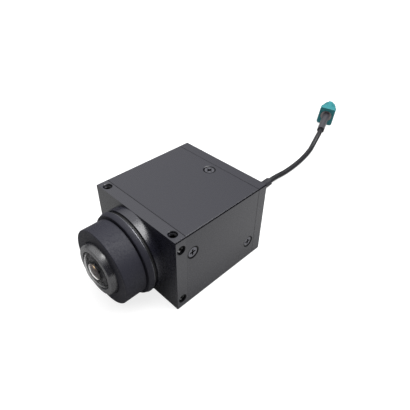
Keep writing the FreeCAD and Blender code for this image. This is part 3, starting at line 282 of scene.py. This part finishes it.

# Black oxide on steel screws: worn bright on the head's face; painted shade makes it black round its edge, in the cross
# and below the face
blackened = {
    "colour": "#68686e",
    "rimShadeColour": "#0c0c0e",
    "surface": (0.18, 0.002, 0.38, 0.08),    # grain and depth in mm, roughness and how far it varies
    "bright": 1.75,        # mm from the middle of a head to where the painted shade round its edge starts
    "slabs": {"across": ("X", 0, 19.78), "upright": ("Z", 15, 14.78)},    # below the faces of the heads, where the painted shade also goes
    "heads": {"right_front": (0, max), "right_rear": (0, max), "left_front": (0, min), "left_rear": (0, min),
              "top": (2, max), "base": (2, min)},    # the way that each case screw faces
}
name = "blackenedSteel"
finishes[name], tree, shader = newFinish(name, blackened["colour"], {"Metallic": 1.0})
place, dents = roughSurface(tree, shader, *blackened["surface"])
axes = addNode(tree, "ShaderNodeSeparateXYZ", links={"Vector": place})
mask = {}
for slab, (axis, middle, half) in blackened["slabs"].items():
    mask[slab] = addNode(tree, "ShaderNodeMath", {"operation": "COMPARE", 1: middle * mm, 2: half * mm},
                         {0: axes.outputs[axis]}).outputs["Value"]
below = addNode(tree, "ShaderNodeMath", {"operation": "MINIMUM"}, {0: mask["across"], 1: mask["upright"]})
nearest = None    # distance to the nearest head's middle
for head, (axis, outermost) in blackened["heads"].items():
    corners = [Vector(corner) for corner in nodes["case_screw_" + head].bound_box]
    middle = sum(corners, Vector()) / 8
    middle[axis] = outermost(corner[axis] for corner in corners)
    reach = addNode(tree, "ShaderNodeVectorMath", {"operation": "DISTANCE", 1: middle}, {0: place}).outputs["Value"]
    if nearest is not None:
        reach = addNode(tree, "ShaderNodeMath", {"operation": "MINIMUM"}, {0: nearest, 1: reach}).outputs["Value"]
    nearest = reach
# painted shade: black round each head's edge and below its face, where shade falls in the seat and the cross
rim = addNode(tree, "ShaderNodeMath", {"operation": "GREATER_THAN", 1: blackened["bright"] * mm}, {0: nearest})
black = addNode(tree, "ShaderNodeMath", {"operation": "MAXIMUM"}, {0: below.outputs["Value"], 1: rim.outputs["Value"]})
headAndShade = addNode(tree, "ShaderNodeMix", {"data_type": "RGBA", 6: linear(blackened["colour"]),
               7: linear(blackened["rimShadeColour"])}, {0: black.outputs["Value"]})
tree.links.new(headAndShade.outputs[2], shader.inputs["Base Color"])
print("finishes mixed:", len(finishes))

# Everything round the lens is a profile of radius and station, in mm, spun round the lens axis
lensAxis = {
    "height": 15.2,
    "caseFront": 20.75,    # stations run forward from the case's front face
    "steps": 96,
}


def turnedPiece(name, profile, closed=False):
    bm = bmesh.new()
    corners = [bm.verts.new((r * mm, -(lensAxis["caseFront"] + s) * mm, lensAxis["height"] * mm)) for r, s in profile]
    pairs = list(zip(corners, corners[1:])) + ([(corners[-1], corners[0])] if closed else [])
    edges = [bm.edges.new(pair) for pair in pairs]
    bmesh.ops.spin(bm, geom=corners + edges, cent=(0, 0, lensAxis["height"] * mm), axis=(0, 1, 0), dvec=(0, 0, 0),
                   angle=2 * pi, steps=lensAxis["steps"], use_merge=True)
    bmesh.ops.remove_doubles(bm, verts=bm.verts, dist=0.0005 * mm)
    bmesh.ops.recalc_face_normals(bm, faces=bm.faces)
    for face in bm.faces:
        face.smooth = True
    for edge in bm.edges:
        edge.smooth = len(edge.link_faces) < 2 or edge.calc_face_angle() < radians(28)
    return addPiece(name, bm)


def domeProfile(radius, centre, edge, steps=24):
    # from the middle of a dome out to its edge
    return [(edge * i / steps, centre + (radius ** 2 - (edge * i / steps) ** 2) ** 0.5) for i in range(steps + 1)]


# Front glass: a thin dome, so that what lies behind it isn't drawn larger than in the photograph
dome = {"centre": 8.0, "radius": 10.0, "edge": 6.95, "thickness": 0.25}
inner = dome["radius"] - dome["thickness"]
domeFront = domeProfile(dome["radius"], dome["centre"], dome["edge"])
domeBack = domeProfile(inner, dome["centre"], dome["edge"] * inner / dome["radius"])
frontDome = turnedPiece("frontDome", domeFront + domeBack[::-1])
frontDome.data.materials.append(finishes["coatedGlass"])
frontDome.visible_shadow = False    # clear glass keeps no light from what is behind it
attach(frontDome, "optics_cell")
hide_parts("front_glass")

# Second element: the strongly curved cap that shows in the middle of the lens
cap = {"base": 16.1, "edge": 2.72, "height": 0.84}
capRadius = (cap["edge"] ** 2 + cap["height"] ** 2) / (2 * cap["height"])
secondDome = turnedPiece("secondDome", domeProfile(capRadius, cap["base"] + cap["height"] - capRadius, cap["edge"]))
secondDome.data.materials.append(finishes["darkCoatedGlass"])
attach(secondDome, "optics_cell")

# Blackened baffle round the second element, turned in shallow steps
baffle = {
    "profile": [(2.72, 16.0), (2.76, 16.15), (2.86, 16.1), (3.0, 15.5), (3.6, 15.25), (3.75, 15.5), (3.95, 15.5),
                (4.8, 15.05), (4.95, 15.2), (5.15, 15.2), (5.8, 14.85), (6.5, 14.6)],
}
lensBaffle = turnedPiece("lensBaffle", baffle["profile"])
lensBaffle.data.materials.append(finishes["mattAnodisedAluminium"])
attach(lensBaffle, "optics_cell")

# Wire spring round the second element's seat, painted white as a highlight: it shows as the crescent of reflected light
# at the lower left
spring = {
    "ring": 2.74,          # mm, to the middle of the wire
    "station": 16.34,
    "wire": 0.24,          # radius of the wire at mid length; it thins out of sight towards its ends
    "start": 128,          # degrees from the top of the lens
    "sweep": 182,
    "steps": 40,
}
ringMiddle = Vector((0, -(lensAxis["caseFront"] + spring["station"]) * mm, lensAxis["height"] * mm))
bm = bmesh.new()
loops = []
for i in range(spring["steps"] + 1):
    angle = radians(spring["start"] + spring["sweep"] * i / spring["steps"])
    thick = spring["wire"] * max(0.15, sin(pi * i / spring["steps"])) ** 0.7
    outwards = Vector((sin(angle), 0, cos(angle)))
    section = Matrix((outwards, (0, 1, 0), outwards.cross((0, 1, 0)))).transposed().to_4x4()
    made = bmesh.ops.create_circle(bm, segments=10, radius=thick * mm, cap_ends=i in (0, spring["steps"]),
                                   matrix=Matrix.Translation(ringMiddle + outwards * spring["ring"] * mm) @ section)
    loops.append([edge for edge in bm.edges if all(v in made["verts"] for v in edge.verts)])
for first, second in zip(loops, loops[1:]):
    bmesh.ops.bridge_loops(bm, edges=first + second)
bmesh.ops.recalc_face_normals(bm, faces=bm.faces)
for face in bm.faces:
    face.smooth = True
springHighlight = addPiece("springHighlight", bm)
springHighlight.data.materials.append(finishes["whiteHighlightWire"])
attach(springHighlight, "optics_cell")

# Bezel: its side leans in towards the front, and its lip lies flat round the glass
bezel = {
    "profile": [(7.0, 12.7), (8.6, 12.7), (9.1, 13.2), (9.1, 13.75), (8.6, 15.65), (8.54, 15.82), (8.38, 15.9),
                (6.8, 15.9), (6.72, 15.84), (6.72, 15.6), (7.0, 15.2)],
}
bezelFront = turnedPiece("bezelFront", bezel["profile"], closed=True)
bezelFront.data.materials.append(finishes["polishedAnodisedAluminium"])
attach(bezelFront, "optics_cell")
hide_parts("bezel_ring")
print("lens front built")

# Lock ring: it leans in towards the hood, so that its face catches the same light as its rim
lockRing = {
    "hole": 11.06,
    "radius": 14.7,
    "nose": 14.25,         # radius at the front, past the lean
    "noseBevel": 0.15,
    "back": 3.95,
    "backBevel": 0.3,
    "highlightBand": 0.4,       # up to here behind the flat rim lies the band of painted highlight
    "flat": 0.8,
    "thick": 2.1,
}
lockBack, lockNose = lockRing["back"], lockRing["back"] + lockRing["thick"]
lockRingTurned = turnedPiece("lockRingTurned", [
    (lockRing["hole"], lockBack), (lockRing["radius"] - lockRing["backBevel"], lockBack),
    (lockRing["radius"], lockBack + lockRing["backBevel"]), (lockRing["radius"], lockBack + lockRing["highlightBand"]),
    (lockRing["radius"], lockBack + lockRing["flat"]), (lockRing["nose"], lockNose - lockRing["noseBevel"]),
    (lockRing["nose"] - lockRing["noseBevel"], lockNose), (lockRing["hole"], lockNose)], closed=True)
lockRingTurned.data.materials.append(finishes["turnedAnodisedAluminium"])
# the second finish is a painted highlight, on the band behind the flat rim
lockRingTurned.data.materials.append(finishes["highlightAluminium"])
highlightFrom = -(lensAxis["caseFront"] + lockBack + lockRing["highlightBand"]) * mm
for face in lockRingTurned.data.polygons:
    if abs(face.normal.y) < 0.01 and face.center.y > highlightFrom:
        face.material_index = 1
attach(lockRingTurned, "lock_ring")
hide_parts("lock_ring")
print("lock ring turned")

# Thread in the tapped M3 holes: one ridge winds down each bore
thread = {
    "pitch": 0.5,
    "outer": 1.25,         # radius of the bore, and of the ridge's crest
    "inner": 1.08,
    "mouth": 0.45,         # mm from the case's wall to the first turn
    "steps": 32,           # a turn
    "holes": {
        # name: middle of the mouth, way in and depth of the ridge
        "topLeftThread": ((-16.4, -18.65, 30.0), (0, 0, -1), 2.4),
        "topRightThread": ((16.4, -18.65, 30.0), (0, 0, -1), 2.4),
        "sideLowThread": ((20.0, -18.65, 4.05), (-1, 0, 0), 3.8),
        "sideHighThread": ((20.0, -18.65, 25.95), (-1, 0, 0), 3.8),
    },
}
for name, (mouth, way, depth) in thread["holes"].items():
    way = Vector(way)
    across = way.orthogonal().normalized()
    start = Vector(mouth) + way * thread["mouth"]
    turns = int((depth - thread["mouth"] - thread["pitch"]) / thread["pitch"])
    bm = bmesh.new()
    flank = [bm.verts.new((start + across * r + way * w * thread["pitch"]) * mm) for r, w in
             ((thread["outer"], 0), (thread["inner"], 0.45), (thread["outer"], 0.9))]
    edges = [bm.edges.new(pair) for pair in zip(flank, flank[1:])]
    bmesh.ops.spin(bm, geom=flank + edges, cent=start * mm, axis=way, dvec=way * thread["pitch"] * mm / thread["steps"],
                   angle=2 * pi * turns, steps=thread["steps"] * turns, use_merge=False)
    bmesh.ops.recalc_face_normals(bm, faces=bm.faces)
    ridge = addPiece(name, bm)
    ridge.data.materials.append(finishes["polishedAnodisedAluminium"])
    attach(ridge, "case")
print("threads cut")

dressing = {
    "blastedAnodisedAluminium": ["front_block", "housing", "rear_plate"],
    "turnedAnodisedAluminium": ["lock_ring", "focus_barrel"],
    "polishedAnodisedAluminium": ["bezel_ring"],
    "mattAnodisedAluminium": ["inner_barrel", "cell_retainer", "element_spacer", "middle_spacer", "rear_spacer",
                              "aperture_plate"],
    "blackenedSteel": ["case_screw_right_front", "case_screw_right_rear", "case_screw_left_front",
                       "case_screw_left_rear", "case_screw_top", "case_screw_base", "board_screw_1", "board_screw_2",
                       "board_screw_3", "board_screw_4"],
    "nickelPlate": ["crimp_ferrule", "outer_contact", "standoff_1", "standoff_2", "standoff_3", "standoff_4"],
    "goldPlate": ["centre_contact", "coax_socket", "coax_plug"],
    "coatedGlass": ["front_glass", "sensor_window"],
    "darkCoatedGlass": ["second_element", "middle_element", "rear_element"],
    "infraredCutGlass": ["infrared_filter"],
    "nitrileRubber": ["front_gasket", "rear_gasket", "lens_seal", "cable_grommet"],
    "siliconeRubber": ["heat_pad"],
    "stretchedHeatShrink": ["connector_boot"],
    "extrudedVinyl": ["inner_lead"],
    "turquoiseNylon": ["connector_housing"],
    "fluoropolymer": ["contact_insulator"],
    "solderMask": ["sensor_board", "link_board"],
    "mouldedEpoxy": ["serialiser_chip", "header_plug", "header_socket", "power_inductor"],
    "firedCeramic": ["image_sensor"],
}
for finish, names in dressing.items():
    for name in names:
        nodes[name].data.materials.clear()
        nodes[name].data.materials.append(finishes[finish])
leadSleeve.data.materials.append(finishes["heatShrink"])
leadCable.data.materials.append(finishes["extrudedVinyl"])
dressed = {name for names in dressing.values() for name in names} | {"cable_sleeve", "coax_cable"}
print("pieces dressed, left out:", sorted(set(nodes) - dressed))

# Broken edges: each machined or moulded edge is eased a little, and catches a line of light
easedEdges = {
    # width in mm
    "front_block": 0.05,
    "housing": 0.05,
    "rear_plate": 0.05,
    "focus_barrel": 0.08,
    "connector_housing": 0.2,
    "crimp_ferrule": 0.1,
    "connector_boot": 0.12,
}
for name, width in easedEdges.items():
    piece = nodes[name]
    weld = piece.modifiers.new("weld", "WELD")
    weld.merge_threshold = 0.002 * mm
    bevel = piece.modifiers.new("easedEdge", "BEVEL")
    bevel.width = width * mm
    bevel.segments = 2
    bevel.limit_method = "ANGLE"
    bevel.angle_limit = radians(35)
    weighted = piece.modifiers.new("evenShading", "WEIGHTED_NORMAL")
    weighted.weight = 80
print("edges eased")

# Floor, sky and lamps
studio = {
    "floorSize": 3.0,
    "floorColour": "#9a9a9a",
    "floorGlow": 0.4,      # lifts the floor to white for glossy metal and glass
    "cameraGlow": 0.8,     # and for the camera
    "paintedShadowShare": 0.27,        # share of the glow left in front of the case: a painted shadow of the case on the floor, as glossy metal and glass see it
    "shadeSpan": (-15, 25),    # mm along x + y over which that shade ends
    "contact": 0.35,       # share left beside the case, close to its base: a painted contact shadow
    "contactSpan": (19, 32),   # mm along x over which that ends
    "skyLow": 0.08,
    "skyHigh": 1.6,        # a wide window over the case and a little to the left
    "skyWindow": (-0.35, 0.0, 0.94),
    "skyEdge": 0.35,       # cosine of the angle from its middle at which the window ends
}
bm = bmesh.new()
bmesh.ops.create_grid(bm, x_segments=2, y_segments=2, size=studio["floorSize"] / 2)
floor = addPiece("floor", bm)
paper = bpy.data.materials.new("paperFloor")    # seamless paper: flat and matt
paper.use_nodes = True
floor.data.materials.append(paper)
tree = paper.node_tree
tree.nodes.clear()
ray = addNode(tree, "ShaderNodeLightPath")
place = addNode(tree, "ShaderNodeTexCoord").outputs["Object"]
axes = addNode(tree, "ShaderNodeSeparateXYZ", links={"Vector": place})
along = addNode(tree, "ShaderNodeVectorMath", {"operation": "DOT_PRODUCT", 1: (1, 1, 0)}, {0: place})
# painted shadow: the glow that glossy metal and glass see on the floor is lowered in front of the case and beside its
# base
shade = addNode(tree, "ShaderNodeMapRange", {"interpolation_type": "SMOOTHSTEP", "To Max": studio["floorGlow"],
                "From Min": studio["shadeSpan"][0] * mm, "From Max": studio["shadeSpan"][1] * mm,
                "To Min": studio["floorGlow"] * studio["paintedShadowShare"]}, {"Value": along.outputs["Value"]})
contact = addNode(tree, "ShaderNodeMapRange", {"interpolation_type": "SMOOTHSTEP", "To Max": 1.0,
                  "From Min": studio["contactSpan"][0] * mm, "From Max": studio["contactSpan"][1] * mm,
                  "To Min": studio["contact"]}, {"Value": axes.outputs["X"]})
paintedFloorShadow = addNode(tree, "ShaderNodeMath", {"operation": "MULTIPLY"},
                   {0: shade.outputs["Result"], 1: contact.outputs["Result"]})
glossy = addNode(tree, "ShaderNodeMath", {"operation": "MAXIMUM"},
                 {0: ray.outputs["Is Glossy Ray"], 1: ray.outputs["Is Transmission Ray"]})
glossyLevel = addNode(tree, "ShaderNodeMath", {"operation": "MULTIPLY"},
                      {0: glossy.outputs["Value"], 1: paintedFloorShadow.outputs["Value"]})
level = addNode(tree, "ShaderNodeMath", {"operation": "MULTIPLY_ADD", 1: studio["cameraGlow"]},
                {0: ray.outputs["Is Camera Ray"], 2: glossyLevel.outputs["Value"]})
matt = addNode(tree, "ShaderNodeBsdfDiffuse", {"Color": linear(studio["floorColour"])})
glow = addNode(tree, "ShaderNodeEmission", links={"Strength": level.outputs["Value"]})
both = addNode(tree, "ShaderNodeAddShader", links={0: matt.outputs["BSDF"], 1: glow.outputs["Emission"]})
addNode(tree, "ShaderNodeOutputMaterial", links={"Surface": both.outputs["Shader"]})

sky = bpy.data.worlds.new("studioSky")
scene.world = sky
sky.use_nodes = True
tree = sky.node_tree
tree.nodes.clear()
direction = addNode(tree, "ShaderNodeTexCoord").outputs["Generated"]
window = addNode(tree, "ShaderNodeVectorMath", {"operation": "DOT_PRODUCT",
                 1: Vector(studio["skyWindow"]).normalized()}, {0: direction})
level = addNode(tree, "ShaderNodeMapRange", {"interpolation_type": "SMOOTHSTEP", "From Min": studio["skyEdge"],
                "From Max": 1.0, "To Min": studio["skyLow"], "To Max": studio["skyHigh"]},
                {"Value": window.outputs["Value"]})
ray = addNode(tree, "ShaderNodeLightPath")
plain = addNode(tree, "ShaderNodeMix", {"data_type": "FLOAT", 3: 1.0},
                {0: ray.outputs["Is Camera Ray"], 2: level.outputs["Result"]})
skyLight = addNode(tree, "ShaderNodeBackground", {"Color": (1, 1, 1, 1)}, {"Strength": plain.outputs[0]})
addNode(tree, "ShaderNodeOutputWorld", links={"Surface": skyLight.outputs["Background"]})

softboxes = {
    # name: direction from the camera body, distance and sides in metres, watts, colour, pieces it is for (or all)
    "overheadBox": ((0.27, 0.32, 0.91), 0.6, 0.36, 0.6, 5.0, "#ffffff", []),
    "warmWindow": ((-0.513, -0.852, 0.098), 0.4, 0.24, 0.1, 6.0, "#ffd8a8", [secondDome]),
    "springBox": ((0.3, -0.6, 0.75), 0.4, 0.1, 0.1, 0.9, "#ffffff", [springHighlight]),
}
for name, (towards, distance, wide, tall, power, colour, litPieces) in softboxes.items():
    lamp = bpy.data.lights.new(name, "AREA")
    lamp.shape = "RECTANGLE"
    lamp.size = wide
    lamp.size_y = tall
    lamp.energy = power
    lamp.color = linear(colour)[:3]
    lampObject = bpy.data.objects.new(name, lamp)
    away = Vector(towards).normalized()
    lampObject.location = Vector((0, 0, 0.015)) + away * distance
    lampObject.rotation_mode = "QUATERNION"
    lampObject.rotation_quaternion = away.to_track_quat("Z", "Y")
    scene.collection.objects.link(lampObject)
    if litPieces:
        # a small window that shows only in these pieces of the lens, also through the front glass
        lit = bpy.data.collections.new(name + "Lit")
        for piece in litPieces:
            lit.objects.link(piece)
        lamp.cycles.use_multiple_importance_sampling = False
        lampObject.light_linking.receiver_collection = lit
scene.view_settings.view_transform = "Standard"
print("studio lit")

bpy.context.view_layer.update()
